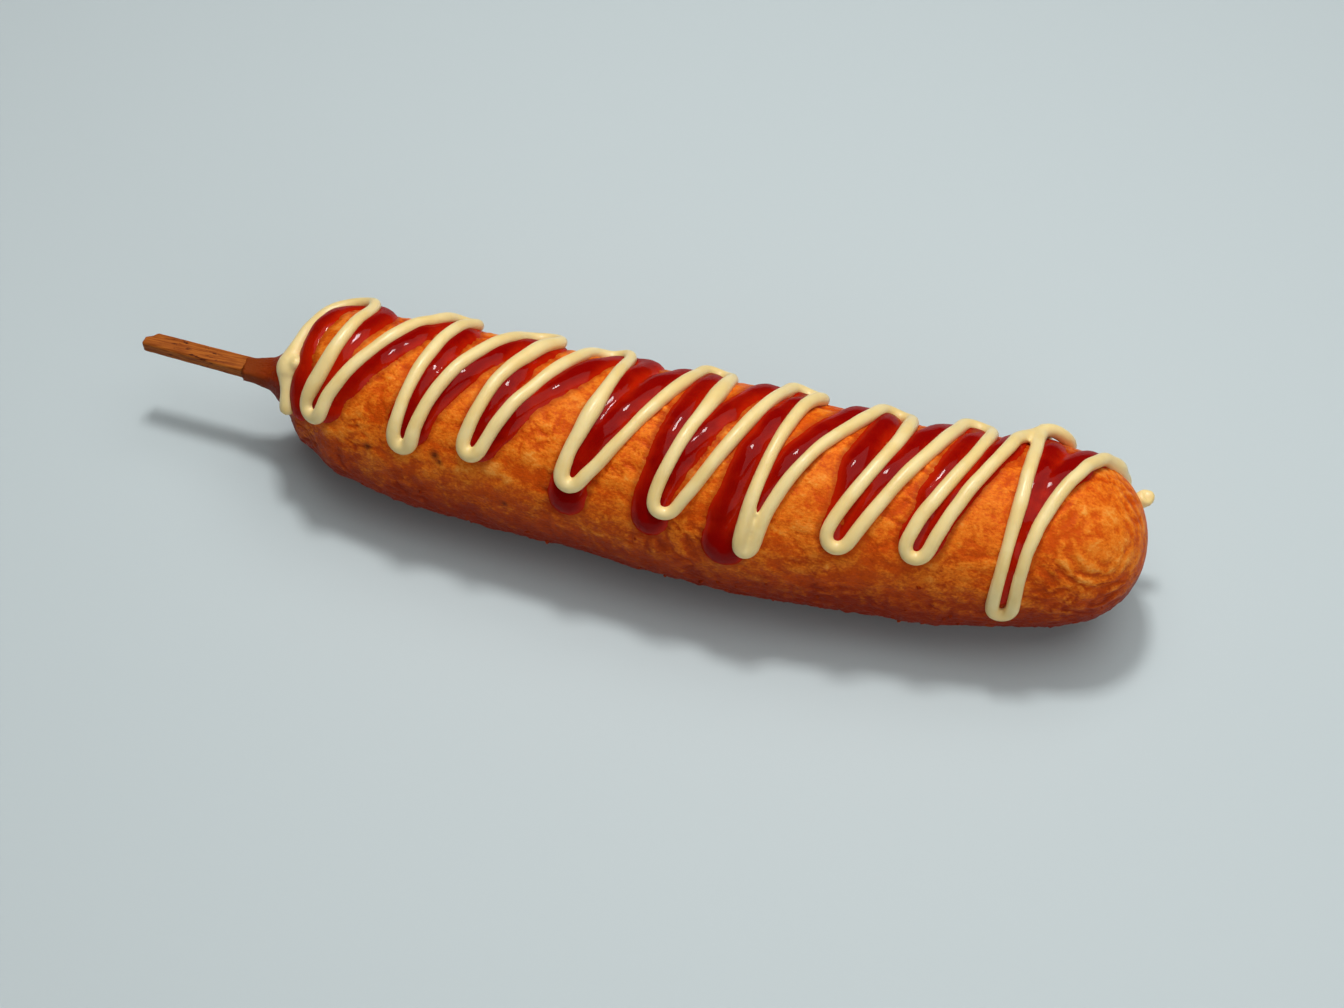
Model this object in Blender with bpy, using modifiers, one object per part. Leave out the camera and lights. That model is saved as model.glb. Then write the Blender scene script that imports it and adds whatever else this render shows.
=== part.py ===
"""Corn dog with two drizzled sauces, lying on its side.

The battered body is turned round its long axis, given the soft lumps of fried
batter, bowed a little to one side and flattened where it lies. Ketchup and
mayonnaise run across it in zigzags and are fused to it. The stick sits in a
socket in the narrow end. Metres, +Z up, +X towards the round end. The origin
is the middle of the flat spot under the belly.
"""
import math

import bmesh
import bpy
from mathutils import Matrix, Vector, noise
from mathutils.bvhtree import BVHTree

MM = 0.001

# Battered body: distance from its stick end, and radius there
BODY_LENGTH = 200.0 * MM
AXIS_HEIGHT = 21.8 * MM
DOME_START = 176.0 * MM
DOME_POWER = 2.2
COLLAR_START = -7.0 * MM
GIRTH = (
    (COLLAR_START, 3.5 * MM),
    (0.0 * MM, 3.9 * MM),
    (5.0 * MM, 6.7 * MM),
    (12.0 * MM, 14.0 * MM),
    (22.0 * MM, 18.4 * MM),
    (38.0 * MM, 20.2 * MM),
    (75.0 * MM, 21.5 * MM),
    (112.0 * MM, 22.8 * MM),
    (150.0 * MM, 20.8 * MM),
    (DOME_START, 20.0 * MM),
)
BODY_RING_STEP = 4.0 * MM
BODY_SIDES = 40

# The body bows towards the viewer's side, most of all a little past its middle
BOW = 6.5 * MM
BOW_POWER = 1.4
BELLY = 108.0 * MM

# Lumps of the batter: broad swellings all round, crags along the underside
LUMP_HEIGHT = 0.7 * MM
LUMP_SIZE = 26.0 * MM
CRAG_HEIGHT = 0.5 * MM
CRAG_SIZE = 8.0 * MM

# Batter that sagged to both lower sides in two places before it set
SAG = 1.2 * MM
SAG_PEAK = 42.0 * MM
SAG_SPACING = 110.0 * MM
SAG_END = 184.0 * MM
SAG_FADE = 26.0 * MM

# The batter stands fuller on the far side of the narrow end
SHOULDER = 1.8 * MM
SHOULDER_PLACE = 15.0 * MM
SHOULDER_REACH = 9.0 * MM
SHOULDER_ANGLE = math.radians(-50.0)

# Stick: flat bamboo, its far end a little narrower
STICK_OUT = 32.0 * MM
STICK_IN = 26.0 * MM
STICK_WIDTH = 4.7 * MM
STICK_THICKNESS = 3.0 * MM
STICK_END_TAPER = 0.85
STICK_EDGE = 0.7 * MM
STICK_TURN = math.radians(4.7)
FIT_GAP = 0.3 * MM

# Sauce beads
MAYO_WIDTH = 3.7 * MM
MAYO_LIFT = 0.6 * MM
KETCHUP_WIDTH = 4.6 * MM
KETCHUP_LIFT = -1.0 * MM
UNROLLED_RADIUS = 21.0 * MM
WIDTH_UNEVENNESS = 0.12
WIDTH_PATCH = 14.0 * MM
PASS_NARROWING = 0.96
ROUTE_SPACING = 0.8 * MM
SOFTENING_ROUNDS = 6
LEG_POINTS = 8
TURN_POINTS = 8
BEAD_MAX_STEP = 6.5 * MM
BEAD_MAX_TURN = math.radians(32.0)

# Each turn of a zigzag: millimetres from the stick end, degrees round the body
# from the top (plus is the viewer's side), millimetres between the two legs,
# and how late the leg that leaves the turn leans over (1 is straight)
MAYO_TURNS = (
    (16.0, -58, 13.0, 1.5),
    (17.0, 64, 4.6, 1.2),
    (43.0, -58, 6.5, 0.7),
    (39.0, 64, 4.4, 1.2),
    (61.5, -54, 9.5, 0.8),
    (55.0, 60, 4.4, 0.9),
    (78.0, -55, 9.0, 1.8),
    (78.0, 61, 4.8, 0.7),
    (102.0, -54, 7.0, 1.4),
    (99.0, 63, 5.4, 0.7),
    (122.0, -55, 8.0, 0.6),
    (118.3, 75, 4.4, 1.3),
    (142.2, -52, 7.0, 1.7),
    (136.0, 61, 5.6, 0.8),
    (159.5, -52, 7.0, 1.4),
    (152.5, 61, 5.4, 1.0),
    (175.0, -76, -7.0, 1.3),
    (172.0, 98, 4.4, 2.5),
)
MAYO_START = ((9.0, 81), (8.5, 55), (8.0, 27), (8.5, -9), (12.0, -36))
MAYO_END = (
    (187.0, -31), (190.5, -48), (191.5, -66), (192.3, -84), (194.0, -96), (196.0, -92), (197.0, -78),
)
KETCHUP_TURNS = (
    (21.2, -52, 8.5, 1.0),
    (18.8, 59, 4.2, 0.9),
    (42.6, -52, 5.0, 1.5),
    (39.8, 57, 3.6, 1.0),
    (62.2, -52, 6.0, 1.1),
    (56.3, 60, 4.0, 0.9),
    (83.0, -52, 8.5, 0.8),
    (78.4, 71, 4.2, 1.3),
    (98.5, -52, 6.5, 0.8),
    (94.9, 70, 4.4, 1.5),
    (118.5, -52, 10.0, 0.6),
    (112.8, 76, 4.6, 1.1),
    (138.0, -53, 5.5, 1.1),
    (136.2, 61, 4.4, 1.0),
    (156.0, -52, 8.5, 0.9),
    (152.8, 60, 4.2, 0.9),
    (172.0, -52, 8.5, 1.0),
    (172.2, 88, 4.4, 2.6),
)
KETCHUP_START = ((11.0, 84), (12.5, 42), (14.0, 2), (17.0, -30))
KETCHUP_END = ((184.0, -30), (187.5, -46))

# Where ketchup ran into drops below a turn, and the mayonnaise's first blob
KETCHUP_DROPS = ((79.0, 69), (94.2, 68), (112.4, 73))
KETCHUP_DROP_SIZE = (6.6 * MM, 1.7 * MM)
MAYO_BLOB = (7.5, 27)
MAYO_BLOB_SIZE = (6.5 * MM, 2.6 * MM)

COLOURS = {
    "batter_crust": ((0.60, 0.20, 0.045), 0.5),
    "stick": ((0.42, 0.17, 0.05), 0.6),
}


def clear_scene():
    for item in list(bpy.data.objects):
        bpy.data.objects.remove(item, do_unlink=True)


def new_collection(name):
    collection = bpy.data.collections.new(name)
    bpy.context.scene.collection.children.link(collection)
    return collection


def new_object(name, data, collection):
    item = bpy.data.objects.new(name, data)
    collection.objects.link(item)
    return item


def coloured(item):
    colour, roughness = COLOURS[item.name]
    material = bpy.data.materials.new(item.name)
    material.use_nodes = True
    shader = material.node_tree.nodes["Principled BSDF"]
    shader.inputs["Base Color"].default_value = (*colour, 1.0)
    shader.inputs["Roughness"].default_value = roughness
    shader.inputs["Metallic"].default_value = 0.0
    item.data.materials.clear()
    item.data.materials.append(material)


def evaluated_mesh(item):
    graph = bpy.context.evaluated_depsgraph_get()
    return bpy.data.meshes.new_from_object(item.evaluated_get(graph), depsgraph=graph)


def apply_modifiers(item):
    mesh = evaluated_mesh(item)
    item.modifiers.clear()
    item.data = mesh


def smooth_step(t):
    return t * t * (3.0 - 2.0 * t)


def girth(along):
    """Radius of the turned body at a distance from its stick end."""
    if along >= DOME_START:
        reach = min(1.0, (along - DOME_START) / (BODY_LENGTH - DOME_START))
        return GIRTH[-1][1] * (1.0 - reach ** DOME_POWER) ** (1.0 / DOME_POWER)
    for (start, radius), (end, next_radius) in zip(GIRTH, GIRTH[1:]):
        if along <= end:
            t = (along - start) / (end - start)
            return radius + (next_radius - radius) * (0.5 * t + 0.5 * smooth_step(t))
    return GIRTH[-1][1]


def sideways(along):
    """How far the body's axis is off the middle of the belly."""
    def bow(distance):
        share = max(0.0, distance / BODY_LENGTH)
        return -BOW * math.sin(math.pi * share ** BOW_POWER)
    return bow(along) - bow(BELLY)


def axis_point(along):
    return Vector((along - BELLY, sideways(along), AXIS_HEIGHT))


def outward(angle):
    """Direction out of the axis: 0 is up, plus turns to the viewer's side."""
    return Vector((0.0, -math.sin(angle), math.cos(angle)))


def profile_stations():
    """Distances along the body, closing up where the outline curves fast."""
    steps = round((DOME_START - COLLAR_START) / BODY_RING_STEP)
    stations = [
        COLLAR_START + (DOME_START - COLLAR_START) * i / steps for i in range(steps)
    ]
    dome_steps = 9
    dome_length = BODY_LENGTH - DOME_START
    for i in range(dome_steps):
        stations.append(DOME_START + dome_length * math.sin(0.5 * math.pi * i / dome_steps))
    return stations


def turned_body(collection):
    """Half outline in the XZ plane, turned round Z, then laid along X."""
    outline = [(0.0, BODY_LENGTH)]
    outline += [(girth(along), along) for along in reversed(profile_stations())]
    outline.append((0.0, COLLAR_START))
    mesh = bpy.data.meshes.new("batter_crust")
    points = [(radius, 0.0, along) for radius, along in outline]
    mesh.from_pydata(points, [(i, i + 1) for i in range(len(points) - 1)], [])
    body = new_object("batter_crust", mesh, collection)
    screw = body.modifiers.new("turn", "SCREW")
    screw.axis = "Z"
    screw.steps = BODY_SIDES
    screw.render_steps = BODY_SIDES
    screw.use_merge_vertices = True
    screw.merge_threshold = 0.00001
    apply_modifiers(body)
    body.data.transform(Matrix.Rotation(math.radians(90.0), 4, "Y"))
    return body


def lump(along, direction):
    """Height of the fried batter's lumps, fading out on the collar."""
    where = Vector((along, 0.0, 0.0)) + direction * UNROLLED_RADIUS
    broad = LUMP_HEIGHT * noise.noise(where / LUMP_SIZE)
    underside = max(0.0, -direction.z)
    crags = CRAG_HEIGHT * underside * noise.noise(where / CRAG_SIZE)
    fade = smooth_step(min(1.0, max(0.0, along / (20.0 * MM))))
    return (broad + crags) * fade


def sag(along, direction):
    """How far the batter sagged outwards on its lower sides."""
    wave = 0.5 + 0.5 * math.cos(math.tau * (along - SAG_PEAK) / SAG_SPACING)
    fall = smooth_step(min(1.0, max(0.0, (SAG_END - along) / SAG_FADE)))
    return SAG * math.sin(math.pi * max(0.0, -direction.z)) * wave ** 2 * fall


def shoulder(along, direction):
    """Extra height on the far side of the narrow end."""
    near = math.exp(-((along - SHOULDER_PLACE) / SHOULDER_REACH) ** 2)
    return SHOULDER * near * max(0.0, direction.dot(outward(SHOULDER_ANGLE)))


def shape_body(body):
    """Adds the sag, the shoulder, the lumps and the bow, ring by ring."""
    for vertex in body.data.vertices:
        along = vertex.co.x
        off_axis = Vector((0.0, vertex.co.y, vertex.co.z))
        radius = off_axis.length
        direction = off_axis.normalized() if radius > 0.0 else Vector((0.0, 0.0, 0.0))
        height = radius + sag(along, direction) + shoulder(along, direction) + lump(along, direction)
        vertex.co = axis_point(along) + direction * height


def flatten_belly(body):
    """Cuts the flat spot that the body rests on at z = 0."""
    mesh = bmesh.new()
    mesh.from_mesh(body.data)
    everything = list(mesh.verts) + list(mesh.edges) + list(mesh.faces)
    cut = bmesh.ops.bisect_plane(
        mesh, geom=everything, plane_co=(0.0, 0.0, 0.0), plane_no=(0.0, 0.0, -1.0),
        clear_outer=True,
    )
    rim = [part for part in cut["geom_cut"] if isinstance(part, bmesh.types.BMEdge)]
    bmesh.ops.edgenet_fill(mesh, edges=rim)
    bmesh.ops.recalc_face_normals(mesh, faces=mesh.faces)
    mesh.to_mesh(body.data)
    mesh.free()


def unrolled(along, degrees):
    """A place on the body, laid out flat: distances along and round it."""
    return Vector((along * MM, math.radians(degrees) * UNROLLED_RADIUS))


def leg(start, finish, lean):
    """One pass over the body, which leaves a turn straight and then leans over."""
    points = []
    for step in range(1, LEG_POINTS + 1):
        t = step / (LEG_POINTS + 1)
        share = (0.5 * t + 0.5 * smooth_step(t)) ** lean
        points.append(Vector((
            start.x + (finish.x - start.x) * share,
            start.y + (finish.y - start.y) * t,
        )))
    return points


def turn(along, degrees, gap):
    """Half circle that joins two legs; a gap below zero makes a loop of it."""
    side = math.copysign(1.0, degrees)
    across = 0.5 * gap * MM
    reach = side * abs(across)
    centre = unrolled(along, degrees) - Vector((0.0, reach))
    points = []
    for step in range(TURN_POINTS + 1):
        bend = math.pi * step / TURN_POINTS
        points.append(centre + Vector((-across * math.cos(bend), reach * math.sin(bend))))
    return points


def zigzag(start, turns, end):
    """Passes of one sauce, each from the middle of a turn to the next one's."""
    passes = []
    route = [unrolled(*point) for point in start]
    lean = 1.0
    for along, degrees, gap, next_lean in turns:
        bend = turn(along, degrees, gap)
        route += leg(route[-1], bend[0], lean)
        middle = len(bend) // 2
        passes.append(route + bend[:middle + 2])
        route = bend[middle - 1:]
        lean = next_lean
    last = [unrolled(*point) for point in end]
    passes.append(route + leg(route[-1], last[0], lean) + last)
    return passes


def evened(points, spacing):
    """The same route with points at an even spacing, its corners softened."""
    distances = [0.0]
    for before, after in zip(points, points[1:]):
        distances.append(distances[-1] + (after - before).length)
    count = max(4, round(distances[-1] / spacing))
    result = []
    index = 0
    for step in range(count + 1):
        distance = distances[-1] * step / count
        while index < len(points) - 2 and distances[index + 1] < distance:
            index += 1
        span = distances[index + 1] - distances[index]
        result.append(points[index].lerp(points[index + 1], (distance - distances[index]) / span))
    for _ in range(SOFTENING_ROUNDS):
        inner = [
            0.25 * before + 0.5 * here + 0.25 * after
            for before, here, after in zip(result, result[1:], result[2:])
        ]
        result = [result[0]] + inner + [result[-1]]
    return result


def thinned(points):
    """Drops points on straight stretches and keeps them where the bead bends."""
    kept = [0]
    turned = 0.0
    for index in range(1, len(points) - 1):
        before = points[index] - points[index - 1]
        after = points[index + 1] - points[index]
        turned += before.angle(after, 0.0)
        gone = (points[index] - points[kept[-1]]).length
        if turned > BEAD_MAX_TURN or gone > BEAD_MAX_STEP:
            kept.append(index)
            turned = 0.0
    return [points[index] for index in kept] + [points[-1]]


def on_surface(surface, place, lift):
    """Point above the body's skin, measured along the skin's own normal."""
    origin = axis_point(place.x)
    angle = place.y / UNROLLED_RADIUS
    skin, normal, _, _ = surface.ray_cast(origin, outward(angle))
    if skin is None:
        skin = origin
        normal = outward(angle)
    return skin + normal * lift


def bead(name, surface, places, width, lift, seed, collection):
    """One pass of sauce as a curve object with round section, made a mesh."""
    points = thinned([on_surface(surface, place, lift) for place in places])
    curve = bpy.data.curves.new(name, "CURVE")
    curve.dimensions = "3D"
    curve.bevel_depth = 0.5 * width
    curve.bevel_resolution = 1
    curve.use_fill_caps = True
    spline = curve.splines.new("POLY")
    spline.points.add(len(points) - 1)
    for index, point in enumerate(points):
        spline.points[index].co = (*point, 1.0)
        wander = noise.noise(Vector((point.x, point.y, seed)) / WIDTH_PATCH)
        spline.points[index].radius = 1.0 + WIDTH_UNEVENNESS * wander
    drawn = new_object(name, curve, collection)
    mesh = evaluated_mesh(drawn)
    solid = bmesh.new()
    solid.from_mesh(mesh)
    bmesh.ops.remove_doubles(solid, verts=solid.verts, dist=0.00001)
    bmesh.ops.recalc_face_normals(solid, faces=solid.faces)
    solid.to_mesh(mesh)
    solid.free()
    item = new_object(name + "_solid", mesh, collection)
    item.matrix_world = drawn.matrix_world
    bpy.data.objects.remove(drawn, do_unlink=True)
    return item


def drop(name, surface, along, degrees, size, collection):
    """A flat round drop of sauce where it pooled or ran."""
    width, height = size
    place = unrolled(along, degrees)
    centre = on_surface(surface, place, 0.0)
    normal = (on_surface(surface, place, 1.0 * MM) - centre).normalized()
    bpy.ops.mesh.primitive_uv_sphere_add(segments=10, ring_count=6, radius=0.5)
    item = bpy.context.object
    item.name = name
    flattened = Matrix.Diagonal((width, width, 2.0 * height, 1.0))
    turned = normal.to_track_quat("Z", "Y").to_matrix().to_4x4()
    item.data.transform(Matrix.Translation(centre) @ turned @ flattened)
    for owner in list(item.users_collection):
        owner.objects.unlink(item)
    collection.objects.link(item)
    return item


def lay_sauces(surface, collection):
    sauces = (
        ("ketchup", KETCHUP_START, KETCHUP_TURNS, KETCHUP_END, KETCHUP_WIDTH, KETCHUP_LIFT),
        ("mayo", MAYO_START, MAYO_TURNS, MAYO_END, MAYO_WIDTH, MAYO_LIFT),
    )
    for seed, (name, start, turns, end, width, lift) in enumerate(sauces):
        for index, route in enumerate(zigzag(start, turns, end)):
            places = evened(route, ROUTE_SPACING)
            # Neighbouring passes overlap at the turn with slightly unlike widths
            pass_width = width * (1.0 if index % 2 else PASS_NARROWING)
            bead(f"{name}_{index}", surface, places, pass_width, lift, seed, collection)
    for index, (along, degrees) in enumerate(KETCHUP_DROPS):
        drop(f"ketchup_drop_{index}", surface, along, degrees, KETCHUP_DROP_SIZE, collection)
    drop("mayo_blob", surface, *MAYO_BLOB, MAYO_BLOB_SIZE, collection)


def boolean(item, operation, target):
    cut = item.modifiers.new(operation.lower(), "BOOLEAN")
    cut.operation = operation
    cut.solver = "EXACT"
    if isinstance(target, bpy.types.Collection):
        cut.operand_type = "COLLECTION"
        cut.collection = target
    else:
        cut.object = target
    apply_modifiers(item)


def drop_scraps(item):
    """Keeps the largest connected piece and drops slivers left by the union."""
    mesh = bmesh.new()
    mesh.from_mesh(item.data)
    pieces = []
    waiting = set(mesh.verts)
    while waiting:
        piece = set()
        edge_of_piece = [waiting.pop()]
        while edge_of_piece:
            vertex = edge_of_piece.pop()
            piece.add(vertex)
            for edge in vertex.link_edges:
                other = edge.other_vert(vertex)
                if other in waiting:
                    waiting.remove(other)
                    edge_of_piece.append(other)
        pieces.append(piece)
    pieces.sort(key=len, reverse=True)
    scraps = [vertex for piece in pieces[1:] for vertex in piece]
    bmesh.ops.delete(mesh, geom=scraps, context="VERTS")
    mesh.to_mesh(item.data)
    mesh.free()


def stick_solid(name, clearance, collection):
    """Flat stick along X with worn edges; its outer end is a little narrower."""
    bpy.ops.mesh.primitive_cube_add(size=1.0)
    item = bpy.context.object
    item.name = name
    for vertex in item.data.vertices:
        outer = vertex.co.x < 0.0
        taper = STICK_END_TAPER if outer else 1.0
        vertex.co.x = -STICK_OUT if outer else STICK_IN + clearance
        vertex.co.y *= (STICK_WIDTH + 2.0 * clearance) * taper
        vertex.co.z *= STICK_THICKNESS + 2.0 * clearance
    item.data.transform(Matrix.Rotation(-STICK_TURN, 4, "Z"))
    item.data.transform(Matrix.Translation(axis_point(0.0)))
    for owner in list(item.users_collection):
        owner.objects.unlink(item)
    collection.objects.link(item)
    edges = item.modifiers.new("worn_edges", "BEVEL")
    edges.width = STICK_EDGE + clearance
    edges.segments = 2
    return item


def main():
    clear_scene()
    parts = new_collection("corn_dog")
    tools = new_collection("cutters")
    sauces = new_collection("sauces")

    body = turned_body(parts)
    shape_body(body)
    flatten_belly(body)
    surface = BVHTree.FromObject(body, bpy.context.evaluated_depsgraph_get())
    lay_sauces(surface, sauces)
    boolean(body, "UNION", sauces)
    for item in list(sauces.objects):
        bpy.data.objects.remove(item, do_unlink=True)

    socket = stick_solid("socket_cutter", FIT_GAP, tools)
    socket.hide_render = True
    socket.display_type = "WIRE"
    boolean(body, "DIFFERENCE", socket)
    drop_scraps(body)
    coloured(body)

    stick = stick_solid("stick", 0.0, parts)
    coloured(stick)
    for item in (body, stick):
        item.data.shade_smooth()
        item.data.set_sharp_from_angle(angle=math.radians(50.0))


main()
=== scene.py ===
# %% [markdown]
# # A corn dog with two sauces
#
# This lesson dresses a plain model of a corn dog: a sausage in fried batter on
# a flat stick, with ketchup and mayonnaise run across it in zigzags.
# The model's solids stay as they are. Each cell adds one piece or one finish.
#
# ## Load the frame
#
# The solids come in at real size, in metres, lying on the floor at z = 0.
# The last cell prints how far each finished piece reaches along each axis.

# %% Load the model
import math

import bpy
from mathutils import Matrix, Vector


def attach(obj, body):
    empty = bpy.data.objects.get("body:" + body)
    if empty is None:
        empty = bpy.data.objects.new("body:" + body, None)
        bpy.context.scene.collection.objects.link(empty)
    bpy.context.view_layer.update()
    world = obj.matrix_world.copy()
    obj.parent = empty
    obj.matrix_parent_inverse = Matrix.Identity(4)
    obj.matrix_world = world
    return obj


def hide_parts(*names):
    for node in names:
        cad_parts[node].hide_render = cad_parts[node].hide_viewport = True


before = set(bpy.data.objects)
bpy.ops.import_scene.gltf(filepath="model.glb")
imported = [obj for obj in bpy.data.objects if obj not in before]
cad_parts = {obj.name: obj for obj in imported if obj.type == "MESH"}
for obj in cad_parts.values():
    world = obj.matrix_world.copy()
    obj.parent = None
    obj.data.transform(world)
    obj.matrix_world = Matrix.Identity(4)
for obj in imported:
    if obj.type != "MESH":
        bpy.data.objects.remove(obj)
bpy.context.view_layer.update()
print("nodes:", sorted(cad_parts))

MM = 0.001

# %% [markdown]
# ## The body's own coordinates
#
# Every piece lies on one long body, so places on it are given in two numbers:
# how far along from the stick end, and how far round from the top. The axis
# bows a little to the viewer's side. A few caliper stations give the girth, and
# a superellipse closes the round end, as batter does when it hangs and sets.
# A formula would also do for the whole outline, but stations are easier to set
# against a photograph.

# %% Driving dimensions of the body
BODY_LENGTH = 200.0 * MM
AXIS_HEIGHT = 21.8 * MM
DOME_START = 176.0 * MM
DOME_POWER = 2.2
COLLAR_START = -7.0 * MM
GIRTH = (
    (COLLAR_START, 3.5 * MM),
    (0.0 * MM, 3.9 * MM),
    (5.0 * MM, 6.7 * MM),
    (12.0 * MM, 14.0 * MM),
    (22.0 * MM, 18.4 * MM),
    (38.0 * MM, 20.2 * MM),
    (75.0 * MM, 21.5 * MM),
    (112.0 * MM, 22.8 * MM),
    (150.0 * MM, 20.8 * MM),
    (DOME_START, 20.0 * MM),
)
BOW = 6.5 * MM
BOW_POWER = 1.4
BELLY = 108.0 * MM
SAG = 1.2 * MM
SAG_PEAK = 42.0 * MM
SAG_SPACING = 110.0 * MM
SAG_END = 184.0 * MM
SAG_FADE = 26.0 * MM
SHOULDER = 3.1 * MM
SHOULDER_PLACE = 13.5 * MM
SHOULDER_REACH = 9.0 * MM
SHOULDER_ANGLE = math.radians(-50.0)
UNROLLED_RADIUS = 21.0 * MM
SKIN_INSET = 0.25 * MM
TIP_INSET = 0.36 * MM


def smooth_step(t):
    return t * t * (3.0 - 2.0 * t)


def girth(along):
    """Radius of the turned body at a distance from its stick end."""
    if along >= DOME_START:
        reach = min(1.0, (along - DOME_START) / (BODY_LENGTH - DOME_START))
        return GIRTH[-1][1] * (1.0 - reach ** DOME_POWER) ** (1.0 / DOME_POWER)
    for (start, radius), (end, next_radius) in zip(GIRTH, GIRTH[1:]):
        if along <= end:
            t = (along - start) / (end - start)
            return radius + (next_radius - radius) * (0.5 * t + 0.5 * smooth_step(t))
    return GIRTH[-1][1]


def sideways(along):
    """How far the body's axis is off the middle of the belly."""
    def bow(distance):
        share = max(0.0, distance / BODY_LENGTH)
        return -BOW * math.sin(math.pi * share ** BOW_POWER)
    return bow(along) - bow(BELLY)


def axis_point(along):
    return Vector((along - BELLY, sideways(along), AXIS_HEIGHT))


def skin_point(along, degrees):
    """A place on the smooth body, for marks that belong at one spot."""
    angle = math.radians(degrees)
    outward = Vector((0.0, -math.sin(angle), math.cos(angle)))
    return axis_point(along) + outward * girth(along)


print("thickest: %.1f mm" % (2000.0 * max(radius for _, radius in GIRTH)))

# %% [markdown]
# ## Node helpers
#
# Both kinds of tree in this lesson, for shapes and for finishes, are built from
# the same few moves: add a node, fill its sockets with numbers or links, and
# take its output. A few short helpers keep the trees readable. A socket knows
# the tree that it belongs to, so a helper with a linked input isn't told which.


# %% Helpers for both kinds of node tree
NUMBER_RESULTS = ("LENGTH", "DISTANCE", "DOT_PRODUCT")


def fill_inputs(step, inputs):
    """Fills a node's sockets; an input is a value or the output socket to link from."""
    for key, value in inputs.items():
        socket = step.inputs[key]
        if isinstance(value, bpy.types.NodeSocket):
            step.id_data.links.new(value, socket)
        else:
            socket.default_value = value


def add_node(tree, kind, inputs=None, **settings):
    step = tree.nodes.new(kind)
    for name, value in settings.items():
        setattr(step, name, value)
    fill_inputs(step, inputs or {})
    return step


def result_of(kind, inputs, **settings):
    """Adds a node to the tree that its inputs come from, and takes its first output."""
    linked = [value for value in inputs.values() if isinstance(value, bpy.types.NodeSocket)]
    return add_node(linked[0].id_data, kind, inputs, **settings).outputs[0]


def calc(operation, first, second=0.0, third=0.0, clamp=False):
    inputs = {0: first, 1: second, 2: third}
    return result_of("ShaderNodeMath", inputs, operation=operation, use_clamp=clamp)


def times(*values):
    return calc("MULTIPLY", *values)


def plus(*values):
    return calc("ADD", *values)


def minus(*values):
    return calc("SUBTRACT", *values)


def times_plus(*values):
    """First times second, plus third."""
    return calc("MULTIPLY_ADD", *values)


def split_xyz(vector):
    return add_node(vector.id_data, "ShaderNodeSeparateXYZ", {0: vector}).outputs


def join_xyz(x, y, z):
    return result_of("ShaderNodeCombineXYZ", {"X": x, "Y": y, "Z": z})


def vector_calc(operation, first, second=None, scale=None):
    inputs = {0: first}
    if second is not None:
        inputs[1] = second
    if scale is not None:
        inputs["Scale"] = scale
    step = result_of("ShaderNodeVectorMath", inputs, operation=operation).node
    return step.outputs["Value" if operation in NUMBER_RESULTS else "Vector"]


def ramp(value, low, high, to_low=0.0, to_high=1.0):
    """Smooth ramp of a number from one range to another."""
    inputs = {0: value, 1: low, 2: high, 3: to_low, 4: to_high}
    return result_of("ShaderNodeMapRange", inputs, interpolation_type="SMOOTHSTEP")


def noise(where, size, detail=2.0, roughness=0.5, distortion=0.0):
    """Soft random value round 0.5 whose patches have the given size."""
    return result_of("ShaderNodeTexNoise", {
        "Vector": where, "Scale": 1.0 / size, "Detail": detail,
        "Roughness": roughness, "Distortion": distortion,
    })


def uneven(*values):
    """The same kind of random value, but round zero."""
    return minus(noise(*values), 0.5)


def here(tree):
    """Where each point of the shape lies."""
    return add_node(tree, "GeometryNodeInputPosition").outputs[0]


def stored(geometry, name, value, kind="FLOAT"):
    """The geometry with a named value kept on each of its points."""
    inputs = {"Geometry": geometry, "Name": name, "Value": value}
    settings = {"data_type": kind, "domain": "POINT"}
    return result_of("GeometryNodeStoreNamedAttribute", inputs, **settings)


def moved_along(place, direction, distance):
    """A place moved some distance in a direction."""
    return vector_calc("ADD", place, vector_calc("SCALE", direction, scale=distance))


def reshaped(geometry, places):
    """The geometry with each of its points at a new place."""
    return result_of("GeometryNodeSetPosition", {"Geometry": geometry, "Position": places})


def swept(curve, sides, caps):
    """A round tube along a curve, as thick as the curve's own radius says."""
    tree = curve.id_data
    inputs = {"Resolution": sides, "Radius": 1.0}
    circle = add_node(tree, "GeometryNodeCurvePrimitiveCircle", inputs).outputs[0]
    inputs = {"Curve": curve, "Profile Curve": circle, "Fill Caps": caps}
    sweep = add_node(tree, "GeometryNodeCurveToMesh", inputs)
    # Some versions of Blender take the radius through a socket of its own
    if "Scale" in sweep.inputs:
        tree.links.new(add_node(tree, "GeometryNodeInputRadius").outputs[0], sweep.inputs["Scale"])
    return sweep.outputs[0]


def new_shape_tree(name, numbers, others=()):
    """A Geometry Nodes tree with named inputs; numbers have default values."""
    tree = bpy.data.node_groups.new(name, "GeometryNodeTree")
    tree.interface.new_socket("Geometry", in_out="INPUT", socket_type="NodeSocketGeometry")
    tree.interface.new_socket("Geometry", in_out="OUTPUT", socket_type="NodeSocketGeometry")
    for title, value in numbers.items():
        socket = tree.interface.new_socket(title, in_out="INPUT", socket_type="NodeSocketFloat")
        socket.default_value = value
    for title, kind in others:
        tree.interface.new_socket(title, in_out="INPUT", socket_type=kind)
    start = tree.nodes.new("NodeGroupInput")
    end = tree.nodes.new("NodeGroupOutput")
    return tree, start.outputs, end.inputs["Geometry"]


def close_shape_tree(tree, geometry, material, end):
    """Ends a tree with its geometry realized, shaded smooth and given its finish. Ends
    a tree as the export needs it: realized, smooth, with its finish.
    """
    realized = result_of("GeometryNodeRealizeInstances", {0: geometry})
    smooth = result_of("GeometryNodeSetShadeSmooth", {0: realized})
    painted = add_node(tree, "GeometryNodeSetMaterial", {0: smooth, "Material": material})
    tree.links.new(painted.outputs[0], end)


def in_scene(name, data):
    """A new object in the scene, at the origin."""
    item = bpy.data.objects.new(name, data)
    bpy.context.scene.collection.objects.link(item)
    return item


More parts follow.
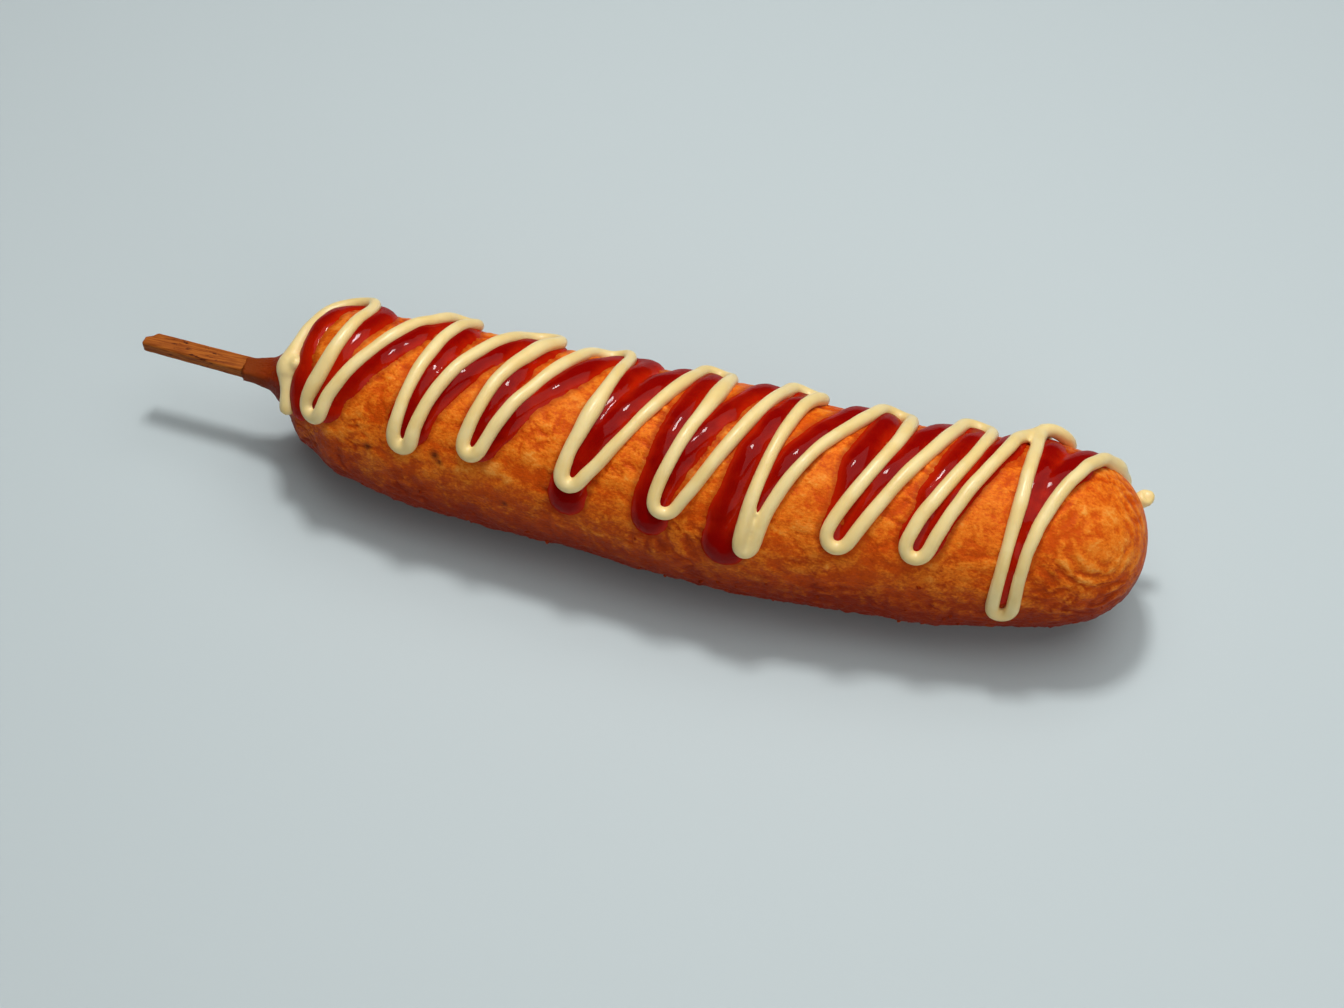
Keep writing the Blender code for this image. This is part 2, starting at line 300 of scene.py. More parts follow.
def triangle_count(mesh):
    return sum(len(face.vertices) - 2 for face in mesh.polygons)


def plain_mesh(item):
    """The evaluated object as a mesh of its own."""
    graph = bpy.context.evaluated_depsgraph_get()
    return bpy.data.meshes.new_from_object(item.evaluated_get(graph), depsgraph=graph)


def grow(name, source, tree, values):
    """Runs a tree on a source object and keeps the result as a plain mesh."""
    modifier = source.modifiers.new(tree.name, "NODES")
    modifier.node_group = tree
    for socket in tree.interface.items_tree:
        if socket.in_out == "INPUT" and socket.name in values:
            modifier[socket.identifier] = values[socket.name]
    mesh = plain_mesh(source)
    bpy.data.objects.remove(source, do_unlink=True)
    mesh.name = name
    piece = in_scene(name, mesh)
    print(name, "has", len(mesh.polygons), "faces")
    return piece


def set_finish(piece, material):
    piece.data.materials.clear()
    piece.data.materials.append(material)


def curve_object(name, splines):
    """Poly splines as one curve object; each is a list of (place, radius)."""
    curve = bpy.data.curves.new(name, "CURVE")
    curve.dimensions = "3D"
    for points in splines:
        spline = curve.splines.new("POLY")
        spline.points.add(len(points) - 1)
        for index, (place, radius) in enumerate(points):
            spline.points[index].co = (place[0], place[1], place[2], 1.0)
            spline.points[index].radius = radius
    return in_scene(name, curve)


# %% [markdown]
# ## Camera
#
# The photograph looks down on the corn dog at about fifty degrees, with the
# stick end a little further away. A longish lens keeps the near and far ends
# alike in size. The camera is placed by its angles and its distance from a
# point beside the middle of the body.

# %% Camera
LENS = 60.0
CAMERA_TURN = math.radians(14.16)
CAMERA_RISE = math.radians(52.0)
CAMERA_DISTANCE = 489.0 * MM
TARGET = Vector((-10.1 * MM, sideways(0.0) - 14.2 * MM, AXIS_HEIGHT))

camera_data = bpy.data.cameras.new("camera")
camera_data.lens = LENS
camera_data.clip_start = 0.01
camera = in_scene("camera", camera_data)
back = Vector((
    math.sin(CAMERA_TURN) * math.cos(CAMERA_RISE),
    -math.cos(CAMERA_TURN) * math.cos(CAMERA_RISE),
    math.sin(CAMERA_RISE),
))
camera.location = TARGET + back * CAMERA_DISTANCE
camera.rotation_euler = back.to_track_quat("Z", "Y").to_euler()
bpy.context.scene.camera = camera
print("camera height: %.0f mm" % (camera.location.z / MM))

# %% [markdown]
# ## Floor and light
#
# The photograph is lit by one soft light straight above the food, so the top is
# bright, the near side falls into shade, and wet sauce shows short white
# highlights. A soft area light gives that, with a small one beside it for the
# highlights and a weak one in front for the shade.
# The surroundings stay dim: a bright sky would lay a pale veil over the deep
# reds. The plain colour transform keeps the yellows and reds as they are.

# %% Floor and light
FLOOR_COLOUR = (0.54, 0.61, 0.62, 1.0)
FLOOR_ROUGHNESS = 0.7
FLOOR_WIDTH = 6.0
KEY_POWER = 4.1
KEY_SIZE = 0.9
KEY_PLACE = Vector((0.14, 0.10, 0.80))
GLINT_POWER = 2.4
GLINT_SIZE = 0.11
GLINT_PLACE = Vector((-0.06, 0.16, 0.72))
FILL_POWER = 1.4
FILL_SIZE = 0.6
FILL_PLACE = Vector((0.45, -0.55, 0.45))
SURROUNDINGS = (0.80, 0.84, 0.86, 1.0)
SURROUNDINGS_STRENGTH = 0.09


def area_light(name, place, size, power):
    data = bpy.data.lights.new(name, "AREA")
    data.size = size
    data.energy = power
    lamp = in_scene(name, data)
    lamp.location = place
    lamp.rotation_euler = place.to_track_quat("Z", "Y").to_euler()


area_light("key_softbox", KEY_PLACE, KEY_SIZE, KEY_POWER)
area_light("glint_lamp", GLINT_PLACE, GLINT_SIZE, GLINT_POWER)
area_light("fill_softbox", FILL_PLACE, FILL_SIZE, FILL_POWER)

world = bpy.data.worlds.new("pale_surroundings")
world.use_nodes = True
background = world.node_tree.nodes["Background"]
fill_inputs(background, {"Color": SURROUNDINGS, "Strength": SURROUNDINGS_STRENGTH})
bpy.context.scene.world = world
bpy.context.scene.view_settings.view_transform = "Standard"

bpy.ops.mesh.primitive_plane_add(size=FLOOR_WIDTH)
floor = bpy.context.object
floor.name = "floor"
floor_finish = bpy.data.materials.new("floor")
floor_finish.use_nodes = True
floor_shader = floor_finish.node_tree.nodes["Principled BSDF"]
fill_inputs(floor_shader, {"Base Color": FLOOR_COLOUR, "Roughness": FLOOR_ROUGHNESS})
set_finish(floor, floor_finish)

# %% [markdown]
# ## Fried batter: the finish
#
# Fried batter isn't one colour. It is gold in random patches and orange over
# most of the top. Its raised relief is painted paler, as a painted highlight.
# Its underside, folds and hollows are painted dark red as painted shade, and it
# is darker near the stick end. Fine pores and a thin film of oil give it small
# broken highlights. The shape tree below leaves attributes on the skin for this
# finish: how dark it is painted, partly as painted shade, how high the relief
# stands, where it lies on the stick, and how near the ketchup is, which soaks
# in. A painted image could hold all that too, but attributes follow the shape.

# %% Fried batter
# Pale gold on the highest relief is partly a painted highlight
PALE_GOLD_AND_HIGHLIGHT = (0.94, 0.42, 0.080, 1.0)
GOLDEN = (0.86, 0.205, 0.011, 1.0)
ORANGE = (0.66, 0.084, 0.002, 1.0)
# Dark red for painted shade on the underside, folds and hollows, and near the stick end
BROWN_AND_SHADE = (0.25, 0.016, 0.0006, 1.0)
COLLAR_BROWN = (0.22, 0.042, 0.006, 1.0)
SCORCHED = (0.075, 0.016, 0.004, 1.0)
SOAKED = (0.36, 0.030, 0.001, 1.0)
PATCH_SIZE = 7.0 * MM
SPECK_SIZE = 0.55 * MM
GRAIN_STRETCH = (0.7, 1.0, 1.0)
PORE_SIZE = 0.45 * MM
PORE_DEPTH = 0.21 * MM
PUFF_SIZE = 2.0 * MM
PUFF_DEPTH = 0.12 * MM


def new_finish(name):
    material = bpy.data.materials.new(name)
    material.use_nodes = True
    tree = material.node_tree
    where = add_node(tree, "ShaderNodeTexCoord").outputs["Object"]
    return material, tree.nodes["Principled BSDF"], where


def attribute(shader, name):
    """A value that a shape tree left on the piece."""
    return add_node(shader.id_data, "ShaderNodeAttribute", attribute_name=name).outputs["Fac"]


def mix_colour(share, first, second):
    inputs = {0: share, 6: first, 7: second}
    return result_of("ShaderNodeMix", inputs, data_type="RGBA").node.outputs[2]


def bumped(height, distance, strength=1.0):
    inputs = {"Height": height, "Distance": distance, "Strength": strength}
    return result_of("ShaderNodeBump", inputs)


def make_batter_finish():
    material, shader, where = new_finish("fried_batter")
    grain = result_of("ShaderNodeMapping", {"Vector": where, "Scale": GRAIN_STRETCH})
    patches = noise(grain, PATCH_SIZE, 6.0, 0.62, 0.6)
    puffs = noise(grain, PUFF_SIZE, 3.0, 0.55, 0.5)
    puffed = minus(puffs, 0.5)
    specks = noise(grain, SPECK_SIZE, 3.0, 0.65)
    speckled = minus(specks, 0.5)
    brown = attribute(shader, "brown")
    # The raised relief is painted paler as a painted highlight; painted shade below takes gold away
    gold_and_painted_light = times_plus(attribute(shader, "relief"), 0.30, patches)
    gold_and_painted_light = times_plus(speckled, 0.7, gold_and_painted_light)
    gold_and_painted_light = times_plus(puffed, 0.4, gold_and_painted_light)
    gold_and_painted_light = times_plus(brown, -0.22, gold_and_painted_light)
    colour = mix_colour(ramp(gold_and_painted_light, 0.32, 0.66), ORANGE, GOLDEN)
    colour = mix_colour(ramp(gold_and_painted_light, 0.58, 0.90, 0.0, 0.75), colour, PALE_GOLD_AND_HIGHLIGHT)
    # Painted shade: the dark red goes on the underside, folds and hollows, and near the stick end
    brown_and_shade_share = times_plus(puffed, -0.6, brown)
    brown_and_shade_share = times_plus(speckled, -0.6, brown_and_shade_share)
    colour = mix_colour(ramp(brown_and_shade_share, 0.0, 0.95), colour, BROWN_AND_SHADE)
    soaked = times(attribute(shader, "soak"), plus(patches, 0.35))
    colour = mix_colour(ramp(soaked, 0.15, 0.8, 0.0, 0.6), colour, SOAKED)
    colour = mix_colour(attribute(shader, "collar"), colour, COLLAR_BROWN)
    colour = mix_colour(attribute(shader, "scorch"), colour, SCORCHED)
    pores = noise(grain, PORE_SIZE, 4.0, 0.6)
    low_relief = times(puffs, PUFF_DEPTH / PORE_DEPTH)
    fill_inputs(shader, {
        "Base Color": colour,
        "Normal": bumped(plus(pores, low_relief), PORE_DEPTH),
        "Roughness": ramp(specks, 0.35, 0.65, 0.34, 0.58),
        "Specular IOR Level": 0.07,
        "Subsurface Weight": 0.1,
        "Subsurface Radius": (1.0, 0.3, 0.08),
        "Subsurface Scale": 0.0015,
    })
    return material


batter_finish = make_batter_finish()
print("finish:", batter_finish.name)

# %% [markdown]
# ## Fried batter: the shape
#
# A circle swept along the bowed axis gives the body, ring by ring, with the
# girth as the curve's own radius. That rule is made by Geometry Nodes, and the
# same tree then fries it: broad swellings, folds a few millimetres wide, small
# blisters, and crags that grow towards the underside. The batter also climbs
# the flat stick in a thin collar, so the rings are squashed there. Sculpting
# could do it by hand, but here each kind of relief keeps a name and a height.

# %% Fried batter skin
SKIN_SIDES = 244
RING_STEP = 0.55 * MM
DOME_RINGS = 60
MERGE_GAP = 0.01 * MM
SWELLING_SIZE = 24.0 * MM
FOLD_SIZE = 7.0 * MM
FOLDED_PATCH = 16.0 * MM
PUFF_SPACING = 4.4 * MM
CRAG_SIZE = 3.0 * MM
BLISTER_SIZE = 2.0 * MM
DOME_FOLDS_CENTRE = (189.0 * MM, 38)
DOME_FOLD_SPACING = 3.0 * MM
DOME_SWIRL_SIZE = 8.0 * MM
RELIEF_UNIT = 0.5 * MM
COLLAR_X = COLLAR_START - BELLY
COLLAR_DIMPLE = 0.8 * MM
COLLAR_RAGGED = 3.0 * MM
COLLAR_SQUASH = 0.70
COLLAR_NECK = 0.80
COLLAR_REACH = 15.0 * MM
SCORCH_MARKS = ((30.5, 71, 0.8), (46.5, 63, 1.0), (47.6, 67, 0.7), (63.0, 84, 0.6))


def spine_stations():
    """Distances of the rings along the body, closing up on the dome."""
    count = round((DOME_START - COLLAR_START) / RING_STEP)
    stations = [COLLAR_START + (DOME_START - COLLAR_START) * i / count for i in range(count)]
    dome = BODY_LENGTH - DOME_START
    for i in range(DOME_RINGS + 1):
        stations.append(DOME_START + dome * math.sin(0.5 * math.pi * i / DOME_RINGS))
    return stations


def make_spine():
    points = [(axis_point(COLLAR_START + COLLAR_DIMPLE), 0.0)]
    for along in spine_stations():
        inset = TIP_INSET * max(0.0, along - DOME_START) / (BODY_LENGTH - DOME_START)
        points.append((axis_point(along - inset), max(0.0, girth(along) - SKIN_INSET)))
    points[-1] = (points[-1][0], 0.0)
    return curve_object("spine", [points])


def squashed_rings(off, along):
    """On the collar the rings follow the stick's flat section: |y|^4 + |z|^4 = 1."""
    around = split_xyz(vector_calc("NORMALIZE", off))
    fullness = ramp(along, COLLAR_X, COLLAR_X + COLLAR_REACH)
    fourth_y, fourth_z = [
        calc("POWER", calc("ABSOLUTE", around[axis]), 4.0) for axis in ("Y", "Z")
    ]
    boxy = calc("MAXIMUM", plus(fourth_y, fourth_z), 0.1)
    boxy = calc("POWER", boxy, -0.25)
    boxy = result_of("ShaderNodeMapRange", {0: fullness, 3: boxy, 4: 1.0})
    wide = times(boxy, ramp(along, COLLAR_X, 3.0 * MM - BELLY, COLLAR_NECK, 1.0))
    squash = result_of("ShaderNodeMapRange", {0: fullness, 3: COLLAR_SQUASH, 4: 1.0})
    return vector_calc("MULTIPLY", off, join_xyz(1.0, wide, times(wide, squash)))


def sagged_batter(along, outward, under):
    """How far the batter sagged before it set: in waves on the flank, and at the far shoulder."""
    flank = calc("SINE", times(calc("MAXIMUM", under, 0.0), math.pi))
    phase = times_plus(along, math.tau / SAG_SPACING, (BELLY - SAG_PEAK) * math.tau / SAG_SPACING)
    wave = times_plus(calc("COSINE", phase), 0.5, 0.5)
    fall = ramp(along, SAG_END - SAG_FADE - BELLY, SAG_END - BELLY, 1.0, 0.0)
    sagged = times(times(flank, SAG), fall)
    sagged = times(sagged, times(wave, wave))
    gone = calc("DIVIDE", minus(along, SHOULDER_PLACE - BELLY), SHOULDER_REACH)
    near = calc("EXPONENT", times(times(gone, gone), -1.0))
    far_side = (0.0, -math.sin(SHOULDER_ANGLE), math.cos(SHOULDER_ANGLE))
    facing = calc("MAXIMUM", vector_calc("DOT_PRODUCT", outward, far_side), 0.0)
    return times_plus(times(near, facing), SHOULDER, sagged)


def dome_folds(place, where, folded):
    """Bent rings of folds round one place on the dome."""
    swirl = times(noise(where, DOME_SWIRL_SIZE, 2.0), 14.0)
    far_off = vector_calc("DISTANCE", place, tuple(skin_point(*DOME_FOLDS_CENTRE)))
    ripple = calc("SINE", times_plus(far_off, math.tau / DOME_FOLD_SPACING, swirl))
    ripple = times(ripple, ramp(far_off, 10.0 * MM, 24.0 * MM, 1.0, 0.0))
    ripple = times(ripple, ramp(far_off, 1.0 * MM, 7.0 * MM, 0.1, 1.0))
    return times(ripple, plus(folded, 0.1))


def batter_tree():
    tree, given, end = new_shape_tree("fry_batter", {
        "Swelling": 0.6 * MM, "Folds": 0.3 * MM, "Puffs": 0.6 * MM, "Blisters": 0.3 * MM,
        "Crags": 2.2 * MM, "Dome Folds": 0.19 * MM, "Seed": 3.0,
    })
    kept = stored(given["Geometry"], "spine", here(tree), "FLOAT_VECTOR")
    upright = result_of("GeometryNodeSetCurveNormal", {0: kept}, mode="Z_UP")
    inputs = {"Geometry": swept(upright, SKIN_SIDES, False), "Distance": MERGE_GAP}
    body = result_of("GeometryNodeMergeByDistance", inputs)

    place = here(tree)
    inputs = {"Name": "spine"}
    core = add_node(tree, "GeometryNodeInputNamedAttribute", inputs, data_type="FLOAT_VECTOR").outputs[0]
    along = split_xyz(core)["X"]
    off = squashed_rings(vector_calc("SUBTRACT", place, core), along)
    outward = vector_calc("NORMALIZE", off)
    under = times(split_xyz(outward)["Z"], -1.0)

    where = vector_calc("ADD", place, join_xyz(given["Seed"], 0.0, 0.0))
    grain = vector_calc("MULTIPLY", where, GRAIN_STRETCH)
    swell = uneven(where, SWELLING_SIZE, 1.0)
    ridge = calc("ABSOLUTE", uneven(grain, FOLD_SIZE, 3.0, 0.5, 1.2))
    folded = ramp(noise(where, FOLDED_PATCH, 1.0), 0.42, 0.6, 0.15, 1.0)
    groove = times(ramp(ridge, 0.0, 0.06, -1.0, 0.0), folded)
    puffed = uneven(where, PUFF_SPACING, 2.0, 0.5, 0.5)
    crags = uneven(grain, CRAG_SIZE, 4.0, 0.66, 0.3)
    inputs = {"Vector": grain, "Scale": 1.0 / BLISTER_SIZE}
    cells = add_node(tree, "ShaderNodeTexVoronoi", inputs, feature="SMOOTH_F1").outputs["Distance"]
    blister = ramp(cells, 0.15, 0.55, 1.0, 0.0)
    rough_side = ramp(under, 0.05, 0.75, 0.10, 1.0)

    height = times(swell, times(given["Swelling"], 2.0))
    for form, size in (
        (groove, given["Folds"]),
        (dome_folds(place, where, folded), given["Dome Folds"]),
        (puffed, given["Puffs"]),
        (times(crags, rough_side), given["Crags"]),
        (blister, times(given["Blisters"], 0.5)),
    ):
        height = times_plus(form, size, height)
    # The relief fades out on the collar and at the very tip
    height = times(height, ramp(along, COLLAR_X, 16.0 * MM - BELLY, 0.15, 1.0))
    tip = BODY_LENGTH - BELLY
    height = times(height, ramp(along, tip - 5.0 * MM, tip, 1.0, 0.1))

    lifted = plus(height, sagged_batter(along, outward, under))
    moved = split_xyz(moved_along(vector_calc("ADD", core, off), outward, lifted))
    ragged = calc("ABSOLUTE", uneven(where, CRAG_SIZE, 0.0))
    end_part = ramp(along, COLLAR_X, 2.0 * MM - BELLY, COLLAR_RAGGED, 0.0)
    on_floor = calc("MAXIMUM", moved["Z"], 0.0)
    resting = join_xyz(plus(moved["X"], times(ragged, end_part)), moved["Y"], on_floor)

    relief = calc("DIVIDE", times_plus(swell, -1.2 * MM, height), RELIEF_UNIT)
    # Painted shade: darker on the underside, in crag hollows and in folds; also darker near the stick end
    brown = times_plus(crags, -0.5, ramp(under, -0.7, 0.75))
    brown = times_plus(groove, -0.25, brown)
    brown = plus(brown, ramp(along, 2.0 * MM - BELLY, 14.0 * MM - BELLY, 0.8, 0.0))
    on_stick = ramp(along, COLLAR_X + 1.0 * MM, 5.0 * MM - BELLY, 0.9, 0.0)
    marked = body
    for name, value in (("relief", relief), ("brown", brown), ("collar", on_stick)):
        marked = stored(marked, name, value)
    close_shape_tree(tree, reshaped(marked, resting), batter_finish, end)
    return tree


bare_skin = grow("bare_skin", make_spine(), batter_tree(), {"Crags": 2.2 * MM})
print("skin triangles:", triangle_count(bare_skin.data))

# %% [markdown]
# ## Sauce routes
#
# Each sauce came out of a squeeze bottle that swung from side to side while it
# moved along. One row of the list below is one turn of that swing: where along
# the body, how far round, how wide the turn is, and how late the next pass
# leans over. The passes between turns are worked out, so the whole zigzag takes
# a few numbers a turn. Only the starts, the ends and the last far loop are given
# by points. Tracing each bead would give the same line with hundreds of numbers.

# %% Zigzag routes
MAYO_TURNS = (
    (16.0, -56, 13.0, 1.5),
    (17.0, 64, 4.6, 1.2),
    (43.0, -58, 6.5, 0.7),
    (39.0, 64, 4.4, 1.2),
    (61.5, -54, 9.5, 0.8),
    (55.0, 57, 4.4, 0.9),
    (78.0, -55, 9.0, 1.8),
    (78.0, 59, 4.8, 0.7),
    (102.0, -54, 7.0, 1.4),
    (99.0, 61, 5.4, 0.7),
    (122.0, -55, 8.0, 0.6),
    (117.3, 73, 3.0, 1.3),
    (142.2, -52, 7.0, 1.7),
    (136.0, 61, 5.6, 0.8),
    (159.5, -52, 7.0, 1.4),
    (152.5, 61, 5.4, 1.0),
)
MAYO_LOOP = (
    (168.6, -32), (171.4, -42), (174.9, -48), (178.4, -54), (180.0, -64), (178.6, -75), (175.6, -74),
    (173.9, -62), (173.3, -48), (172.8, -36),
)
MAYO_LAST_TURN = ((172.0, 98, 4.4, 2.5),)
MAYO_START = ((9.0, 81), (8.5, 55), (8.0, 27), (8.3, -5), (9.0, -25))
MAYO_END = (
    (187.0, -31), (190.5, -48), (191.5, -66), (192.3, -84), (194.0, -96), (195.3, -89), (195.8, -72),
)
KETCHUP_TURNS = (
    (19.8, -52, 12.0, 1.0),
    (18.8, 57, 4.2, 0.9),
    (42.6, -52, 5.0, 1.5),
    (39.8, 55, 3.6, 1.0),
    (62.2, -52, 6.0, 1.1),
    (56.3, 54, 4.0, 0.9),
    (83.0, -52, 8.5, 0.8),
    (77.3, 70, 2.4, 1.3),
    (98.5, -52, 6.5, 0.8),
    (95.9, 68, 3.0, 1.5),
    (118.5, -52, 10.0, 0.6),
    (112.8, 76, 4.6, 1.1),
    (138.0, -53, 5.5, 1.1),
    (136.2, 59, 4.4, 1.0),
    (156.0, -52, 8.5, 0.9),
    (152.8, 58, 4.2, 0.9),
    (172.0, -52, 8.5, 1.0),
    (172.2, 86, 2.4, 2.6),
)
KETCHUP_START = ((10.8, 84), (11.4, 42), (12.0, 2), (14.0, -30))
KETCHUP_END = ((184.0, -30), (187.5, -46))
LEG_POINTS = 8
TURN_POINTS = 8
ROUTE_SPACING = 0.8 * MM
SOFTENING_ROUNDS = 6


def unrolled(along, degrees):
    """A place on the body, laid out flat: distances along and round it."""
    return Vector((along * MM, math.radians(degrees) * UNROLLED_RADIUS))


def leg(start, finish, lean):
    """One pass over the body, which leaves a turn straight and then leans over."""
    points = []
    for step in range(1, LEG_POINTS + 1):
        t = step / (LEG_POINTS + 1)
        share = (0.5 * t + 0.5 * smooth_step(t)) ** lean
        points.append(Vector((
            start.x + (finish.x - start.x) * share,
            start.y + (finish.y - start.y) * t,
        )))
    return points


def turn(along, degrees, gap):
    """Half circle that joins two legs."""
    side = math.copysign(1.0, degrees)
    across = 0.5 * gap * MM
    reach = side * abs(across)
    centre = unrolled(along, degrees) - Vector((0.0, reach))
    points = []
    for step in range(TURN_POINTS + 1):
        bend = math.pi * step / TURN_POINTS
        points.append(centre + Vector((-across * math.cos(bend), reach * math.sin(bend))))
    return points


def zigzag(start, turns, end):
    """The whole route of one sauce on the unrolled body."""
    route = [unrolled(*point) for point in start]
    lean = 1.0
    for along, degrees, gap, next_lean in turns:
        bend = turn(along, degrees, gap)
        route += leg(route[-1], bend[0], lean) + bend
        lean = next_lean
    last = [unrolled(*point) for point in end]
    return route + leg(route[-1], last[0], lean) + last


def evened(points, spacing):
    """The same route with points at an even spacing, its corners softened."""
    distances = [0.0]
    for before, after in zip(points, points[1:]):
        distances.append(distances[-1] + (after - before).length)
    count = max(4, round(distances[-1] / spacing))
    result = []
    index = 0
    for step in range(count + 1):
        distance = distances[-1] * step / count
        while index < len(points) - 2 and distances[index + 1] < distance:
            index += 1
        span = distances[index + 1] - distances[index]
        result.append(points[index].lerp(points[index + 1], (distance - distances[index]) / span))
    for _ in range(SOFTENING_ROUNDS):
        inner = [
            0.25 * before + 0.5 * middle + 0.25 * after
            for before, middle, after in zip(result, result[1:], result[2:])
        ]
        result = [result[0]] + inner + [result[-1]]
    return result


mayo_path = zigzag(MAYO_START, MAYO_TURNS, MAYO_LOOP)
mayo_path += zigzag(MAYO_LOOP[-1:], MAYO_LAST_TURN, MAYO_END)[1:]
mayo_route = evened(mayo_path, ROUTE_SPACING)
ketchup_route = evened(zigzag(KETCHUP_START, KETCHUP_TURNS, KETCHUP_END), ROUTE_SPACING)
print("mayonnaise: %d points, ketchup: %d points" % (len(mayo_route), len(ketchup_route)))

# %% [markdown]
# ## Laying a bead of sauce
#
# The route is flat, so a Geometry Nodes tree wraps it round the body. For each
# point it shoots a ray out of the axis, finds the skin there, and lifts the
# point off it. Where the second sauce crosses the first, a second ray finds the
# lower bead, and the blurred difference lets the upper one ride over it. The
# width wanders, and it rounds off at both ends, as a real dab does. A
# Shrinkwrap modifier could lay the curve on the skin, but not over both.

# %% Bead tree
BEAD_STEP = 0.5 * MM
BEAD_SIDES = 16
RAY_LENGTH = 60.0 * MM
OUTSIDE = 50.0 * MM
CLIMB_LIMIT = 2.2 * MM
CLIMB_SHARE = 0.85
CLIMB_BLUR = 12
SKIN_BLUR = 16
SMALLEST_RADIUS = 0.05 * MM


def skin_ray(target, start, direction):
    inputs = {
        "Target Geometry": target, "Source Position": start, "Ray Direction": direction,
        "Ray Length": RAY_LENGTH,
    }
    step = add_node(target.id_data, "GeometryNodeRaycast", inputs)
    return step.outputs["Hit Position"], step.outputs["Hit Normal"]


def blurred(value, rounds, kind="FLOAT"):
    tree = value.id_data
    step = add_node(tree, "GeometryNodeBlurAttribute", data_type=kind)
    free = [socket for socket in step.inputs if socket.enabled and socket.name == "Value"]
    tree.links.new(value, free[0])
    step.inputs["Iterations"].default_value = rounds
    return [socket for socket in step.outputs if socket.enabled][0]


def object_geometry(item):
    inputs = {"Object": item}
    step = add_node(item.id_data, "GeometryNodeObjectInfo", inputs, transform_space="RELATIVE")
    return step.outputs["Geometry"]


def wrapped_round(along, angle):
    """The axis beside a place on the unrolled body, and the direction outwards."""
    share = calc("MAXIMUM", calc("DIVIDE", along, BODY_LENGTH), 0.0)
    bow = calc("SINE", times(calc("POWER", share, BOW_POWER), math.pi))
    axis_y = times_plus(bow, -BOW, sideways(0.0))
    axis = join_xyz(minus(along, BELLY), axis_y, AXIS_HEIGHT)
    across = times(calc("SINE", angle), -1.0)
    return axis, join_xyz(0.0, across, calc("COSINE", angle))


def bead_radius(tree, given):
    """Half the width, which wanders and rounds off at both ends of the bead."""
    half = times(given["Width"], 0.5)
    far = add_node(tree, "GeometryNodeSplineParameter").outputs["Length"]
    whole = add_node(tree, "GeometryNodeSplineLength").outputs["Length"]
    to_end = calc("MINIMUM", far, minus(whole, far))
    near = calc("DIVIDE", to_end, half, clamp=True)
    rounding = calc("SQRT", times(near, minus(2.0, near)))
    inputs = {
        "Vector": vector_calc("ADD", here(tree), join_xyz(0.0, 0.0, given["Seed"])),
        "Scale": calc("DIVIDE", 1.0, given["Patch"]), "Detail": 1.0,
    }
    wander = minus(result_of("ShaderNodeTexNoise", inputs), 0.5)
    wander = times_plus(times(wander, 2.0), given["Unevenness"], 1.0)
    drawn = add_node(tree, "GeometryNodeInputRadius").outputs[0]
    radius = times(times(rounding, wander), times(half, drawn))
    return calc("MAXIMUM", radius, SMALLEST_RADIUS)


def bead_tree():
    tree, given, end = new_shape_tree(
        "lay_bead",
        {"Width": 4.2 * MM, "Lift": 0.7 * MM, "Unevenness": 0.12, "Patch": 13.0 * MM, "Seed": 1.0},
        (("Skin", "NodeSocketObject"), ("Over", "NodeSocketObject"), ("Finish", "NodeSocketMaterial")),
    )
    inputs = {"Curve": given["Geometry"], "Length": BEAD_STEP}
    fine = result_of("GeometryNodeResampleCurve", inputs, mode="LENGTH")
    flat = split_xyz(here(tree))
    angle = calc("DIVIDE", flat["Y"], UNROLLED_RADIUS)
    axis, outward = wrapped_round(flat["X"], angle)
    skin = object_geometry(given["Skin"])
    under = object_geometry(given["Over"])
    both = add_node(tree, "GeometryNodeJoinGeometry")
    tree.links.new(skin, both.inputs[0])
    tree.links.new(under, both.inputs[0])
    skin_hit, skin_normal = skin_ray(skin, axis, outward)
    # The upper surface is met from outside, so a ray comes back towards the axis
    outside = moved_along(axis, outward, OUTSIDE)
    inward = vector_calc("SCALE", outward, scale=-1.0)
    top_hit, _ = skin_ray(both.outputs[0], outside, inward)
    climb = calc("MINIMUM", vector_calc("DISTANCE", top_hit, skin_hit), CLIMB_LIMIT)
    lift = times_plus(blurred(climb, CLIMB_BLUR), CLIMB_SHARE, given["Lift"])
    lift = plus(lift, flat["Z"])
    # The bead spans the batter's small dents, so what it follows is blurred along it
    reach = blurred(vector_calc("DISTANCE", skin_hit, axis), SKIN_BLUR)
    normal = vector_calc("NORMALIZE", blurred(skin_normal, SKIN_BLUR, "FLOAT_VECTOR"))
    laid = moved_along(moved_along(axis, outward, reach), normal, lift)
    inputs = {"Curve": reshaped(fine, laid), "Radius": bead_radius(tree, given)}
    sized = result_of("GeometryNodeSetCurveRadius", inputs)
    close_shape_tree(tree, swept(sized, BEAD_SIDES, True), given["Finish"], end)
    return tree


def raised_at(place, spots):
    """Sum of soft rises at a place; a spot is along, degrees, height and reach."""
    total = 0.0
    for along, degrees, height, reach in spots:
        gone = (place - unrolled(along, degrees)).length
        total += height * math.exp(-(gone / (reach * MM)) ** 2)
    return total


def swollen(route, swells, lifts=()):
    """Route points with width factors; lifts raise the bead off the skin, in mm."""
    return [
        ((place.x, place.y, raised_at(place, lifts) * MM), 1.0 + raised_at(place, swells))
        for place in route
    ]


def merged(piece, voxel, rounds):
    """Fuses crossing beads into one skin and lets their creases soften."""
    remesh = piece.modifiers.new("fuse", "REMESH")
    remesh.mode = "VOXEL"
    remesh.voxel_size = voxel
    remesh.use_smooth_shade = True
    soften = piece.modifiers.new("soften", "SMOOTH")
    soften.factor = 0.5
    soften.iterations = rounds
    mesh = plain_mesh(piece)
    piece.modifiers.clear()
    piece.data = mesh
    print(piece.name, "fused:", triangle_count(mesh), "triangles")


lay_bead = bead_tree()
print("bead tree:", len(lay_bead.nodes), "nodes")

